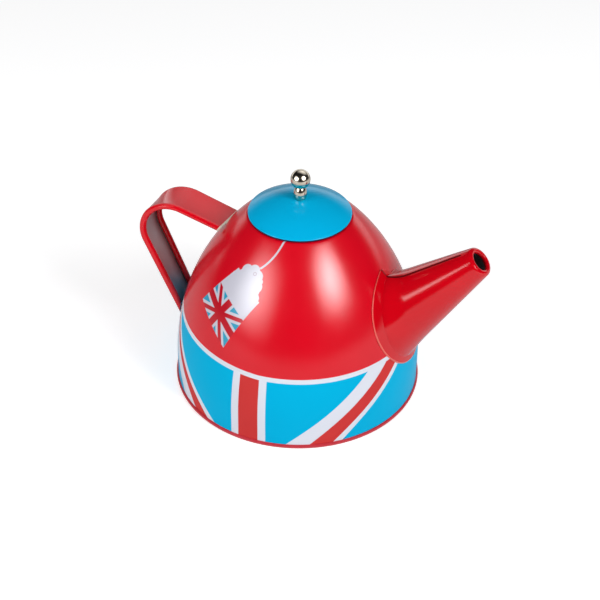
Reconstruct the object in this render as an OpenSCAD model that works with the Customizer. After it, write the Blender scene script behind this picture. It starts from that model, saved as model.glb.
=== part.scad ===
// Toy tinplate teapot: a pressed dome on a seamed base, a rolled spout, a strap handle and a lift-off lid.
// The origin is on the pot's axis, on the plane it stands on. The spout points along +X, the handle along -X.

/* [Body] */
// Diameter over the rolled rim at the foot
rim_d = 96; // [90:1:104]
// Diameter of the rolled rim's bead
rim_bead_d = 1.7; // [1.5:0.1:2.2]
// How far the bead stands proud of the wall
rim_proud = 0.74; // [0.6:0.02:0.9]
// Thickness of the tinplate
tin_t = 0.4; // [0.3:0.05:0.5]
// Height of the straight part of the wall
wall_h = 10.4; // [8:0.2:13]
// Radius of the dome's arc, seen from the side
dome_r = 86; // [82:1:92]
// Height of the base panel above the table
base_rise = 1; // [0.7:0.1:1.2]
// Diameter of the mouth at the top
mouth_d = 35.8; // [34:0.2:37]
// Outer radius of the mouth's turned-down edge
mouth_edge_r = 1.2; // [1:0.1:1.4]
// Depth of the flange that hangs from the mouth's edge
mouth_flange_h = 2; // [1:0.25:4]

/* [Lid] */
// Diameter over the lid's hemmed edge
lid_d = 38.6; // [37.8:0.2:40]
// Diameter of the hem round the lid's edge
lid_hem_d = 1.1; // [0.8:0.05:1.3]
// Rise of the lid's crown above the middle of its hem
lid_crown_h = 6; // [5:0.2:8]
// Clearance between the lid's collar and the mouth
collar_clear = 0.3; // [0.2:0.05:0.5]
// Depth of the collar below the middle of the hem
collar_h = 5.6; // [4:0.2:8]
// Width of the collar's flange under the lid
collar_flange_w = 0.7; // [0.4:0.1:0.8]

/* [Knob] */
// Diameter of the knob's ball
knob_ball_d = 7.4; // [6:0.2:9]
// Diameter of the knob's neck at its middle, where it swells
knob_neck_d = 5; // [4.6:0.1:5.6]
// Height of the ball's centre above the lid's crown
knob_ball_h = 8.2; // [6.5:0.1:9]
// Diameter of the knob's screw
screw_d = 2.6; // [2:0.2:3]
// Diameter of the screw's head
screw_head_d = 5.6; // [5:0.2:6.4]
// Height of the screw's head
screw_head_h = 1.8; // [1.6:0.1:2.2]
// Length of the screw that enters the knob
screw_grip = 5.5; // [4:0.25:6]

/* [Spout] */
// Height at which the spout's axis leaves the dome
spout_seat_z = 40.8; // [38:0.5:44]
// Angle at which the spout rises from level
spout_rise_deg = 46.1; // [42:1:50]
// Length of the spout along its axis, from the dome to the tip
spout_l = 39; // [34:0.5:46]
// Outer diameter of the cone where its axis leaves the dome
spout_root_d = 27.6; // [26:0.5:30]
// Outer diameter of the cone at the tip
spout_tip_d = 11.1; // [10:0.2:13]
// Diameter of the pouring hole
spout_hole_d = 7; // [6:0.2:7.4]
// Width of the spout's lip across the pot
lip_w = 40.2; // [39.6:0.2:44]
// Height of the spout's lip up the dome
lip_h = 38; // [37:0.2:40]
// Height of the middle of the lip above the table
lip_mid_z = 39.7; // [39.2:0.1:40.2]
// Width of the lip on its far, +Y side, past the lap seam
lip_far_w = 0.9; // [0.7:0.1:3]
// Height above the dome at which the cone starts to flare towards its lip
flare_h = 8; // [6:0.5:10]
// Angle of the lap seam round the spout, from its top towards -Y
spout_seam_deg = 11; // [0:1:30]

/* [Handle] */
// Width of the handle's strap
strap_w = 15; // [13:0.5:18]
// Diameter of the rolled beads along the strap's edges
strap_bead_d = 2.5; // [2:0.1:3]
// Height at which the upper arm meets the dome
arm_top_z = 64.8; // [60:0.5:66]
// Angle at which the upper arm rises from level
arm_rise_deg = 18; // [10:1:25]
// Length of the upper arm from the dome to the bend
arm_l = 16.8; // [14:0.5:22]
// Gap between the dome and the near corner of the upper arm's end
arm_gap = 1.5; // [1.4:0.1:2.5]
// Angle from level at which the upper arm's end is cut to follow the dome
arm_cut_deg = 31; // [25:1:38]
// Angle by which that end is cut askew, closer to the dome on its +Y side
arm_skew_deg = 8; // [0:1:9]
// Outer radius of the handle's bend
bend_r = 13.7; // [11:0.5:16]
// Angle by which the bend stands askew, closer to the pot on its +Y side
bend_skew_deg = 5.5; // [0:0.5:10]
// Height at which the lower arm meets the wall
arm_low_z = 19.5; // [17:0.5:24]
// Width of the tabs that hold the strap's ends
tab_w = 6; // [5:0.5:7]
// Length of the part of a tab that is bent over inside the pot
tab_flap = 4; // [3:0.5:5]

/* [Clearances] */
// Gap between parts that rest on each other on the pot
seat_gap = 0.06; // [0.05:0.01:0.1]
// Clearance between the lid's hem and the dome under it
lid_gap = 0.18; // [0.12:0.02:0.3]
// Clearance round tabs in their slots and round the spout in its hole
slot_gap = 0.2; // [0.15:0.05:0.3]
// Clearance of the bent tabs from the inside of the dome
flap_gap = 0.35; // [0.3:0.05:0.5]
// Clearance round the screw
screw_gap = 0.05; // [0.03:0.01:0.08]

/* [Hidden] */
fine = 96; // segments of a full circle on the pot
small = 48; // segments of a full circle on small turned parts
curl_sides = 12; // flats round each of the strap's rolled edges
bend_steps = 24; // flats round the handle's bend
sides = 48; // flats round the spout
tip_step_deg = 30; // step round the curl at the spout's tip
tip_turn_deg = 240; // how far that curl turns
flare_steps = 5; // steps down the spout's flare
tube_steps = 3; // steps along the spout between its tip and its flare
meet_tries = 24; // steps in which a line of the spout finds the dome
overrun = 1; // how far a cut runs past a face

red = "crimson";
cyan = "deepskyblue";
tin = "lightslategray";
nickel = "gainsboro";

// The dome's arc is tangent to the straight wall, so its centre lies beyond the pot's axis.
wall_r = rim_d / 2 - rim_proud;
arc_x = wall_r - dome_r;

// Radius of the dome at height z, on a surface grown outwards by off.
function dome_rho(z, off = 0) =
    z < wall_h ? wall_r + off : arc_x + sqrt(pow(dome_r + off, 2) - pow(z - wall_h, 2));
// Angle from level at which the dome faces outwards at height z.
function dome_normal(z) = z < wall_h ? 0 : asin((z - wall_h) / dome_r);
// Distance of a point outside the dome's surface, for points above the straight wall.
function outside_dome(p) = norm([norm([p[0], p[1]]) - arc_x, p[2] - wall_h]) - dome_r;

// The rolled rim: its bead is squeezed flat underneath, so that the pot stands on a narrow ring.
bead_r = rim_bead_d / 2;
foot_flat_share = 0.12; // share of the bead's radius that is squeezed flat
bead_z = bead_r * (1 - foot_flat_share);
bead_x = rim_d / 2 - bead_r;

// The mouth's turned edge: a small arc inside the dome's arc, tangent to it and to the flange.
mouth_r = mouth_d / 2;
edge_x = mouth_r + mouth_edge_r;
edge_z = wall_h + sqrt(pow(dome_r - mouth_edge_r, 2) - pow(edge_x - arc_x, 2));
// Where the dome's centre, the edge's centre and their tangent point are in line.
edge_deg = atan2(edge_z - wall_h, edge_x - arc_x);

edge_set = 0.02; // how far the turned edge's faces lie within the dome's
edge_lap_deg = 3; // how far it starts before the tangent point
edge_steps = 10; // flats round the turned edge

// The lid rests with its hem just clear of the mouth's turned edge.
hem_r = lid_hem_d / 2;
hem_x = lid_d / 2 - hem_r;
hem_z = edge_z + sqrt(pow(hem_r + mouth_edge_r + lid_gap, 2) - pow(hem_x - edge_x, 2));
crown_z = hem_z + lid_crown_h;
// The cap's outer sphere passes over the hem and through the crown.
hem_meet_deg = 60; // angle from level at which it meets the hem
cap_x = hem_x + hem_r * cos(hem_meet_deg);
cap_drop = lid_crown_h - hem_r * sin(hem_meet_deg);
cap_r = (pow(cap_x, 2) + pow(cap_drop, 2)) / (2 * cap_drop);
cap_z = crown_z - cap_r;
collar_r = mouth_r - collar_clear;
collar_z = hem_z - collar_h;
flange_r = min(collar_r + collar_flange_w, hem_x - hem_r - seat_gap); // it stops short of the hem
// Where the underside of the cap meets the screw's head.
head_z = cap_z + sqrt(pow(cap_r - tin_t, 2) - pow(screw_head_d / 2, 2));

drive_l_share = 0.6; // length of the cross in the screw's head, as a share of the head's diameter
drive_w_share = 0.17; // width of the cross's arms, as a share of it
drive_l = drive_l_share * screw_head_d;
drive_w = drive_w_share * screw_head_d;
knob_ball_z = crown_z + knob_ball_h;
neck_mid_share = 0.26; // height of the neck's widest place, as a share of the ball's height
neck_swell_share = 1.1; // radius of the neck's swell, in diameters of the neck
neck_swell_r = neck_swell_share * knob_neck_d;
knob_bore_h = screw_grip + screw_d / 2;

// The spout's axis leaves the dome at the seat and runs up to the tip.
spout_dir = [cos(spout_rise_deg), 0, sin(spout_rise_deg)];
spout_up = [-sin(spout_rise_deg), 0, cos(spout_rise_deg)];
spout_side = [0, 1, 0];
spout_seat = [dome_rho(spout_seat_z), 0, spout_seat_z];
spout_tip = spout_seat + spout_l * spout_dir;
spout_slope = (spout_root_d - spout_tip_d) / 2 / spout_l;
// The curl at the tip reaches from the cone's outer face to just within the pouring hole's edge.
curl_r = (spout_tip_d - spout_hole_d + tin_t) / 4;
lap_deg = 40; // how far the lapped sheet takes to settle back onto the cone
lip_blend_deg = 18; // angle past the seam over which the lip narrows
hem_share = 1.4; // thickness of the lip's hemmed edge, in sheets
lip_t = hem_share * tin_t;
lip_band_share = 0.6; // share of the lip's width that lies flat on the dome
flare_power = 2.2; // how much steeper the flare gets towards the lip
clinch_share = 1.6; // how far the neck's edge is turned out inside the pot, in sheets
clinch_w = clinch_share * tin_t;
lap_fade_share = 0.12; // share of the spout at its tip where the lap is pressed away

// The handle is drawn in the plane of the pot's axis, with its distance from the axis as x and its
// height as y.
arm_dir = [cos(arm_rise_deg), sin(arm_rise_deg)];
arm_out = [-sin(arm_rise_deg), cos(arm_rise_deg)];
arm_top = [dome_rho(arm_top_z), arm_top_z];
bend_start = arm_top + arm_l * arm_dir;
bend_mid = bend_start - bend_r * arm_out;
arm_low = [dome_rho(arm_low_z), arm_low_z];
low_run = bend_mid - arm_low;
low_deg = atan2(low_run[1], low_run[0]) - asin(bend_r / norm(low_run));
low_dir = [cos(low_deg), sin(low_deg)];
low_out = [sin(low_deg), -cos(low_deg)];
low_l = sqrt(pow(norm(low_run), 2) - pow(bend_r, 2));
bend_end = arm_low + low_l * low_dir;
bend_deg = 180 - (low_deg - arm_rise_deg);
web_set = 0.15; // how far the web lies behind the rolled edges' crowns
end_gap = 0.25; // gap between the wall and the lower arm's cut end
low_normal = dome_normal(arm_low_z);
top_normal = dome_normal(arm_top_z);
arm_end = arm_top + arm_gap / cos(top_normal - arm_rise_deg) * arm_dir;
// A tab's middle is the web's, and its bent end lies flap_gap inside the sheet of the dome.
tab_mid = web_set + tin_t / 2;
tab_in_depth = tin_t + flap_gap + tin_t / 2;
top_tab = arm_top - tab_mid * arm_out;
top_elbow = top_tab - tab_in_depth / cos(top_normal - arm_rise_deg) * arm_dir;
top_down = [sin(top_normal), -cos(top_normal)];
low_tab = arm_low - tab_mid * low_out;
low_elbow = low_tab - tab_in_depth / cos(low_deg - low_normal) * low_dir;
low_down = [sin(low_normal), -cos(low_normal)];

// A ring in the section of a turned part.
module annulus(centre, outer, inner) {
    translate(centre) difference() {
        circle(r = outer, $fn = fine);
        circle(r = inner, $fn = fine);
    }
}

// The stretch of such a ring between two angles that are less than 180 degrees apart.
module ring_arc(centre, outer, inner, from_deg, to_deg) {
    far = 2 * outer;
    mid_deg = (from_deg + to_deg) / 2;
    intersection() {
        annulus(centre, outer, inner);
        translate(centre) polygon([
            [0, 0],
            far * [cos(from_deg), sin(from_deg)],
            far * 2 * [cos(mid_deg), sin(mid_deg)],
            far * [cos(to_deg), sin(to_deg)]
        ]);
    }
}

// Points on one side of a bent strip's middle line, with its corners mitred.
function unit(v) = v / norm(v);
function left_of(v) = [-v[1], v[0]];
function strip_side(path, off) = [
    for (i = [0:1:len(path) - 1])
        let (
            before = unit(i == 0 ? path[1] - path[0] : path[i] - path[i - 1]),
            after = i == len(path) - 1 ? before : unit(path[i + 1] - path[i]),
            out = unit(left_of(before) + left_of(after))
        )
        path[i] + off / (out * left_of(before)) * out
];

// Stands the handle's plane upright, with its outward direction along -X.
module upright() {
    rotate([0, 0, 180]) rotate([90, 0, 0]) children();
}

// The slots through which the handle's tabs enter the pot.
module tab_slots() {
    reach = 2 * tab_in_depth + arm_gap;
    wide = tin_t + 2 * slot_gap;
    upright() translate([0, 0, -tab_w / 2 - slot_gap]) linear_extrude(tab_w + 2 * slot_gap) {
        translate(top_tab) rotate(arm_rise_deg) translate([-reach, -wide / 2]) square([2 * reach, wide]);
        translate(low_tab) rotate(low_deg) translate([-reach, -wide / 2]) square([2 * reach, wide]);
    }
}

// The cone that cuts the hole for the spout's neck.
module spout_hole() {
    grow = tin_t / 2 + slot_gap;
    deep = spout_l + spout_root_d;
    narrow = spout_tip_d / 2 + grow;
    translate(spout_tip) rotate([0, 270 - spout_rise_deg, 0])
        cylinder(h = deep, r1 = narrow, r2 = narrow + deep * spout_slope, $fn = fine);
}

// The mouth's turned edge and the flange that hangs from it, in one sheet.
module mouth_edge() {
    start_deg = edge_deg - edge_lap_deg;
    turns = [for (k = [0:1:edge_steps]) start_deg + (180 - start_deg) * k / edge_steps];
    outer = mouth_edge_r - edge_set;
    inner = mouth_edge_r - tin_t + edge_set;
    foot = edge_z - mouth_flange_h;
    polygon(concat(
        [for (a = turns) [edge_x + outer * cos(a), edge_z + outer * sin(a)]],
        [[mouth_r + edge_set, foot], [mouth_r + tin_t - edge_set, foot]],
        [for (k = [edge_steps:-1:0]) [edge_x + inner * cos(turns[k]), edge_z + inner * sin(turns[k])]]
    ));
}

module body_shell() {
    color(red) difference() {
        rotate_extrude($fn = fine) {
            // The straight wall, which ends inside the rolled rim.
            translate([wall_r - tin_t, bead_z]) square([tin_t, wall_h - bead_z]);
            // The dome, up to where the mouth's edge turns.
            ring_arc([arc_x, wall_h], dome_r, dome_r - tin_t, 0, edge_deg);
            mouth_edge();
        }
        spout_hole();
        tab_slots();
    }
}

module base_plate() {
    slit = tin_t + 2 * seat_gap;
    color(red) rotate_extrude($fn = fine) {
        // The panel, set up from the table, reaches into the bead.
        translate([0, base_rise]) square([bead_x - bead_r + tin_t / 2, tin_t]);
        // The bead, open above where it grips the wall, and flat underneath.
        intersection() {
            difference() {
                annulus([bead_x, bead_z], bead_r, bead_r - tin_t);
                translate([wall_r - tin_t - seat_gap, bead_z]) square([slit, rim_bead_d]);
            }
            square([rim_d, rim_bead_d]);
        }
    }
}

// The spout is one swept sheet. A point lies at w outside the cone's outer face, at angle a round the
// axis, and either at a length s back from the tip or where its line meets the dome grown by h.
function round_axis(a) = cos(a) * spout_up + sin(a) * spout_side;
function spout_at(a, w, s) =
    spout_tip - s * spout_dir + (spout_tip_d / 2 + s * spout_slope + w) * round_axis(a);
function spout_on(a, w, h, s, tries) =
    tries == 0
        ? spout_at(a, w, s)
        : spout_on(a, w, h, s + outside_dome(spout_at(a, w, s)) - h, tries - 1);
function on_dome(a, w, h) = spout_on(a, w, h, spout_l, meet_tries);

// The lip's edge is an ellipse seen along X, laid on the dome.
function lip_point(t) =
    let (y = lip_w / 2 * sin(t), z = lip_mid_z + lip_h / 2 * cos(t))
    [sqrt(pow(dome_rho(z, lip_t), 2) - y * y), y, z];
function lip_back(p) = (spout_tip - p) * spout_dir;
function lip_arm(p) = p - spout_tip + lip_back(p) * spout_dir;
function lip_angle(p) = atan2(lip_arm(p) * spout_side, lip_arm(p) * spout_up);
function lip_out(p) = norm(lip_arm(p)) - spout_tip_d / 2 - lip_back(p) * spout_slope;

// The lip is wide on the -Y side, up to the lap's seam, and narrow past it.
function lip_width(p) =
    let (
        past = (lip_angle(p) + spout_seam_deg + 360) % 360,
        full = lip_out(p),
        keep = max(0, 1 - past / lip_blend_deg)
    )
    past < 180 ? min(full, lip_far_w + keep * (full - lip_far_w)) : full;

// The lap's raised edge, which falls away round the cone's +Y side and is pressed flat at the tip.
function lap(a, s) =
    let (turn = (720 + spout_seam_deg + a) % 360)
    turn > lap_deg ? 0 : tin_t * (1 - turn / lap_deg) * min(1, s / (lap_fade_share * spout_l));

// How far the flare stands off the cone at a share u of its way down.
function flare_w(p, u) = lip_width(p) * (1 - lip_band_share) * pow(u, flare_power);

// One line of the sheet's section: the tip's curl, the inside down to the hole, through it, round the
// clinched edge, back out under the lip, round its edge and up the outside.
function spout_line(t) =
    let (
        p = lip_point(t),
        a = lip_angle(p),
        wide = lip_width(p),
        top = lip_t + seat_gap,
        tube_l = spout_l - 2 * flare_h,
        turned_in = seat_gap + tin_t,
        downs = [for (k = [1:1:flare_steps]) k / flare_steps]
    )
    concat(
        // The curl at the tip, from the outside over to the hole and round to the inside.
        [for (q = [0:tip_step_deg:tip_turn_deg])
            spout_at(a, -curl_r * (1 - cos(q)), curl_r * (1 - sin(q)))],
        // The inside of the cone and of the flare, then in along the dome and down the hole.
        [for (k = [1:1:tube_steps]) spout_at(a, -tin_t, curl_r + k * tube_l / (tube_steps + 1))],
        [for (u = downs) on_dome(a, flare_w(p, u) - tin_t, flare_h + u * (turned_in - flare_h))],
        [on_dome(a, -tin_t, turned_in)],
        [on_dome(a, -tin_t, -2 * tin_t - seat_gap)],
        [on_dome(a, clinch_w, -2 * tin_t - seat_gap)],
        [on_dome(a, clinch_w, -tin_t - seat_gap)],
        // Back out through the hole, under the lip and round its edge.
        [on_dome(a, 0, -tin_t - seat_gap)],
        [on_dome(a, 0, seat_gap)],
        [on_dome(a, wide, seat_gap)],
        [on_dome(a, wide + lip_t / 4, seat_gap + lip_t / 2)],
        [on_dome(a, wide, top)],
        // The flat band, then the flare up to the cone.
        [for (k = [len(downs) - 1:-1:0])
            on_dome(a, flare_w(p, downs[k]) + lap(a, spout_l), flare_h + downs[k] * (top - flare_h))],
        // Up the outside of the cone, with the lap.
        [for (k = [tube_steps:-1:0])
            let (s = k * tube_l / (tube_steps + 1)) spout_at(a, lap(a, s), curl_r + s)]
    );

// Angles round the lip.
lip_angles = [for (i = [0:1:sides - 1]) i * 360 / sides];

module spout() {
    lines = [for (t = lip_angles) spout_line(t)];
    n = len(lines[0]);
    m = len(lines);
    color(red) polyhedron(
        points = [for (line = lines, p = line) p],
        faces = [
            for (i = [0:1:m - 1], j = [0:1:n - 1], half = [0, 1])
                let (i2 = (i + 1) % m, j2 = (j + 1) % n)
                half == 0
                    ? [i * n + j, i2 * n + j, i2 * n + j2]
                    : [i * n + j, i2 * n + j2, i * n + j2]
        ]
    );
}

// The strap's section is one sheet with both edges rolled under. A point of it lies y across the strap
// and d outwards from the crowns of the rolled edges, and d is negative.
strap_curl_r = strap_bead_d / 2;
curl_end_deg = -190; // where the rolled edge ends, under the web
curl_out_deg = 180 - asin(1 - web_set / strap_curl_r);
curl_in_deg = 180 - asin((strap_curl_r - web_set - tin_t) / (strap_curl_r - tin_t));
function curl_arc(r, from_deg, to_deg) = [
    for (k = [0:1:curl_sides])
        let (a = from_deg + (to_deg - from_deg) * k / curl_sides)
        [strap_w / 2 - strap_curl_r + r * cos(a), r * sin(a) - strap_curl_r]
];
strap_half = concat(
    curl_arc(strap_curl_r, curl_out_deg, curl_end_deg),
    curl_arc(strap_curl_r - tin_t, curl_end_deg, curl_in_deg)
);
// The tabs carry on from the middle of the web, so their corners are in the outline too.
strap_outline = concat(
    strap_half,
    [[tab_w / 2, -web_set - tin_t], [-tab_w / 2, -web_set - tin_t]],
    [for (k = [len(strap_half) - 1:-1:0]) [-strap_half[k][0], strap_half[k][1]]],
    [[-tab_w / 2, -web_set], [tab_w / 2, -web_set]]
);

// A point of the section carried along a straight arm to the plane through a place, facing along normal.
function strap_cut(from, dir, out, q, at, normal) =
    let (
        start = [from[0] + q[1] * out[0], q[0], from[1] + q[1] * out[1]],
        run = [dir[0], 0, dir[1]]
    )
    start + (at - start) * normal / (run * normal) * run;
function strap_bent(out, q) =
    let (skew = q[0] * tan(bend_skew_deg))
    [bend_mid[0] + (bend_r + q[1]) * out[0] - skew, q[0], bend_mid[1] + (bend_r + q[1]) * out[1]];

// The sections along the handle, from the upper arm's end round the bend to the lower arm's end.
top_corner = [arm_end[0], -strap_w / 2, arm_end[1]];
top_face = [cos(arm_cut_deg), tan(arm_skew_deg), sin(arm_cut_deg)];
low_place = [arm_low[0] + end_gap * cos(low_normal), 0, arm_low[1] + end_gap * sin(low_normal)];
low_face = [cos(low_normal), 0, sin(low_normal)];
strap_rings = concat(
    [[for (q = strap_outline) strap_cut(bend_start, arm_dir, arm_out, q, top_corner, top_face)]],
    [for (k = [0:1:bend_steps])
        let (a = 90 + arm_rise_deg - bend_deg * k / bend_steps, out = [cos(a), sin(a)])
        [for (q = strap_outline) strap_bent(out, q)]],
    [[for (q = strap_outline) strap_cut(bend_end, low_dir, low_out, q, low_place, low_face)]]
);

// The bent part of a tab: two rings of four corners, at its elbow and at its end. The web's outer face
// lies on the path's left if side is 1.
function tab_rings(path, side) =
    let (outer = strip_side(path, side * tin_t / 2), inner = strip_side(path, -side * tin_t / 2))
    [
        for (i = [1, 2])
            for (q = [[inner, 1], [inner, -1], [outer, -1], [outer, 1]])
                [q[0][i][0], q[1] * tab_w / 2, q[0][i][1]]
    ];
top_tab_points = tab_rings([top_tab, top_elbow, top_elbow + tab_flap * top_down], -1);
low_tab_points = tab_rings([low_tab, low_elbow, low_elbow + tab_flap * low_down], 1);

// The faces between two rings of points, given as two lists of their numbers.
function between(a, b) = [
    for (k = [0:1:len(a) - 1], half = [0, 1])
        let (k2 = (k + 1) % len(a))
        half == 0 ? [a[k], b[k2], a[k2]] : [a[k], b[k], b[k2]]
];
function reversed(list) = [for (k = [len(list) - 1:-1:0]) list[k]];
function run(from, count) = [for (k = [0:1:count - 1]) from + k];

module handle_strap() {
    n = len(strap_outline);
    h = len(strap_half);
    low = (len(strap_rings) - 1) * n;
    tabs = low + n;
    tab_corners = [h, h + 1, 2 * h + 2, 2 * h + 3];
    // Either end of the strap is closed on each side of its tab.
    closers = [concat(run(0, h + 1), [2 * h + 3]), run(h + 1, h + 2)];
    points = concat([for (ring = strap_rings, p = ring) p], top_tab_points, low_tab_points);
    color(red) polyhedron(
        points = [for (p = points) [-p[0], p[1], p[2]]],
        faces = concat(
            [for (i = [0:1:len(strap_rings) - 2], face = between(run(i * n, n), run(i * n + n, n))) face],
            closers,
            [for (face = closers) reversed([for (k = face) low + k])],
            between(run(tabs, 4), tab_corners),
            between(run(tabs + 4, 4), run(tabs, 4)),
            [run(tabs + 4, 4)],
            between([for (k = tab_corners) low + k], run(tabs + 8, 4)),
            between(run(tabs + 8, 4), run(tabs + 12, 4)),
            [reversed(run(tabs + 12, 4))]
        )
    );
}

module lid_cap() {
    color(cyan) difference() {
        rotate_extrude($fn = fine) {
            intersection() {
                annulus([0, cap_z], cap_r, cap_r - tin_t);
                translate([0, hem_z]) square([hem_x, lid_crown_h + overrun]);
            }
            translate([hem_x, hem_z]) circle(r = hem_r, $fn = small);
        }
        translate([0, 0, crown_z - lid_crown_h])
            cylinder(h = 2 * lid_crown_h, r = screw_d / 2 + 2 * screw_gap, $fn = small);
    }
}

module lid_collar() {
    under_r = cap_r - tin_t - seat_gap;
    color(tin) rotate_extrude($fn = fine) {
        intersection() {
            translate([collar_r - tin_t, collar_z]) square([tin_t, crown_z - collar_z]);
            translate([0, cap_z]) circle(r = under_r, $fn = fine);
        }
        intersection() {
            annulus([0, cap_z], under_r, under_r - tin_t);
            translate([collar_r - tin_t, hem_z - lid_hem_d])
                square([flange_r - collar_r + tin_t, lid_crown_h]);
        }
    }
}

module knob() {
    color(nickel) difference() {
        union() {
            translate([0, 0, knob_ball_z]) sphere(d = knob_ball_d, $fn = small);
            translate([0, 0, crown_z]) rotate_extrude($fn = small) intersection() {
                translate([knob_neck_d / 2 - neck_swell_r, neck_mid_share * knob_ball_h])
                    circle(r = neck_swell_r, $fn = fine);
                square([knob_neck_d, knob_ball_h]);
            }
        }
        translate([0, 0, crown_z - overrun])
            cylinder(h = overrun + knob_bore_h, r = screw_d / 2 + screw_gap, $fn = small);
    }
}

module knob_screw() {
    low_z = head_z - seat_gap - screw_head_h;
    color(nickel) difference() {
        union() {
            translate([0, 0, low_z]) cylinder(h = screw_head_h, d = screw_head_d, $fn = small);
            translate([0, 0, head_z - screw_head_h])
                cylinder(h = crown_z - head_z + screw_head_h + screw_grip, d = screw_d, $fn = small);
        }
        for (turn = [0, 90])
            translate([0, 0, low_z]) rotate([0, 0, turn])
                cube([drive_l, drive_w, screw_head_h], center = true);
    }
}

body_shell();
base_plate();
spout();
handle_strap();
lid_cap();
lid_collar();
knob();
knob_screw();
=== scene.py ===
"""Looks of a toy tinplate teapot: printed dome, rolled spout, strap handle and lift-off lid.

Sizes are in millimetres and become metres where a mesh is made. The origin is on the pot's axis on
the table, the spout points along +X and the handle along -X.
"""

import logging
import math
from dataclasses import dataclass, field
from enum import Enum
from typing import Callable

import bmesh
import bpy
import numpy as np
from mathutils import Matrix, Vector


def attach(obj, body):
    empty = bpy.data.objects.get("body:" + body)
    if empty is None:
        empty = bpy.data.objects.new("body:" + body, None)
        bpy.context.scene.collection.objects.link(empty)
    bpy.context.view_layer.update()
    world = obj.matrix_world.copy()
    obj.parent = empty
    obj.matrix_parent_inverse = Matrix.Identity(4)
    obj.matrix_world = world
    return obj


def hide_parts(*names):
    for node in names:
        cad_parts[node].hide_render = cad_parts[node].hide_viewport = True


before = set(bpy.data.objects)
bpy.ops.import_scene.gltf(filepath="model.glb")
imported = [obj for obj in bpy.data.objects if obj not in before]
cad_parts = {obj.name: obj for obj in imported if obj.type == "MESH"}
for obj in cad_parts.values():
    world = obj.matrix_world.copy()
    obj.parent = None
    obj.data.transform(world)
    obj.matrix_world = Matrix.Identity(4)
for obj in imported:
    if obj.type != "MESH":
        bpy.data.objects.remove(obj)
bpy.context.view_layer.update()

LOG = logging.getLogger("teapot")
MM = 0.001
MATH = "ShaderNodeMath"
# A bound that no value reaches, for a band that is open on one side.
FAR = 999.0
# Points closer than the first become one, and edges shorter than the second go.
MERGE_MM = 0.001
SLIVER_MM = 0.0001
# The sRGB curve: the end and the slope of its straight start, and the offset and power of the rest.
SRGB_START = 0.04045
SRGB_SLOPE = 12.92
SRGB_OFFSET = 0.055
SRGB_POWER = 2.4

Point = tuple[float, float, float]
Flat = tuple[float, float]
Colour = tuple[float, float, float, float]
Socket = bpy.types.NodeSocket


class Body(Enum):
    """The two bodies that move against each other."""

    POT = "pot"
    LID = "lid"


class Slot(Enum):
    """The record's material slots. The pieces here take their finishes' materials instead."""

    PRINT = "printed_body"
    RED = "red_enamel"
    GLOSS = "red_gloss"
    CYAN = "cyan_enamel"
    NICKEL = "nickel"


def linear(hex_colour: str) -> Colour:
    """Turns an sRGB hex colour to linear.

    Args:
        hex_colour: The colour, such as "#d8102a".

    Returns:
        Red, green, blue and alpha, from 0 to 1.
    """
    parts = [int(hex_colour[i : i + 2], 16) / 255 for i in (1, 3, 5)]
    red, green, blue = (
        c / SRGB_SLOPE if c <= SRGB_START else ((c + SRGB_OFFSET) / (1 + SRGB_OFFSET)) ** SRGB_POWER
        for c in parts)
    return (red, green, blue, 1.0)


class Graph:
    """The nodes of one material, light or world, each added with its settings and links."""

    def __init__(self, tree: bpy.types.NodeTree) -> None:
        """Empties the tree."""
        self.tree = tree
        tree.nodes.clear()

    def add(self, kind: str, *values: object, out: int | str = 0,
            **settings: object) -> Socket | bpy.types.Node:
        """Adds a node with its settings and links.

        Args:
            kind: The node's type.
            values: What feeds its inputs, in their order, or one dict by name or number.
            out: The output to give back.
            settings: The node's own properties.

        Returns:
            The chosen output, or the node itself where it has none.
        """
        node = self.tree.nodes.new(kind)
        for name, value in settings.items():
            setattr(node, name, value)
        named = values[0] if len(values) == 1 and isinstance(values[0], dict) else dict(enumerate(values))
        for key, value in named.items():
            if isinstance(value, Socket):
                self.tree.links.new(value, node.inputs[key])
            else:
                node.inputs[key].default_value = value
        return node.outputs[out] if node.outputs else node

    def band(self, value: object, low: object, high: object, soft: float) -> Socket:
        """Marks where a value lies between two others.

        Args:
            value: What is tested.
            low: Where the band starts.
            high: Where it ends.
            soft: Half the width of its soft edges.

        Returns:
            1 inside the band and 0 outside.
        """
        sides = []
        for more, less in ((value, low), (high, value)):
            past = self.add(MATH, more, less, operation="SUBTRACT")
            sides.append(self.add(MATH, past, 0.5 / soft, 0.5, operation="MULTIPLY_ADD", use_clamp=True))
        return self.add(MATH, *sides, operation="MULTIPLY")

    def paint(self, under: object, over: object, mask: object) -> Socket:
        """Lays one colour over another.

        Args:
            under: The colour below.
            over: The colour above.
            mask: Where the upper one shows.

        Returns:
            The painted colour.
        """
        return self.add("ShaderNodeMix", {0: mask, 6: under, 7: over}, out=2, data_type="RGBA")

    def curve(self, x: object, start: float, slope: float, bend: float) -> Socket:
        """Works out start + slope * x + bend * x * x.

        Args:
            x: The coordinate.
            start: The value at zero.
            slope: The slope at zero.
            bend: What multiplies the square.

        Returns:
            The curve's value.
        """
        rise = self.add(MATH, x, bend, slope, operation="MULTIPLY_ADD")
        return self.add(MATH, x, rise, start, operation="MULTIPLY_ADD")

    def beside(self, x: object, y: object, start: Flat, end: Flat) -> Socket:
        """Works out how far a point lies to the left of a line.

        Args:
            x: The point's first coordinate.
            y: Its second coordinate.
            start: Where the line starts.
            end: Where it ends.

        Returns:
            The distance, below zero on the right.
        """
        length = math.dist(start, end)
        a, b = (start[1] - end[1]) / length, (end[0] - start[0]) / length
        across = self.add(MATH, y, b, -a * start[0] - b * start[1], operation="MULTIPLY_ADD")
        return self.add(MATH, x, a, across, operation="MULTIPLY_ADD")


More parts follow.
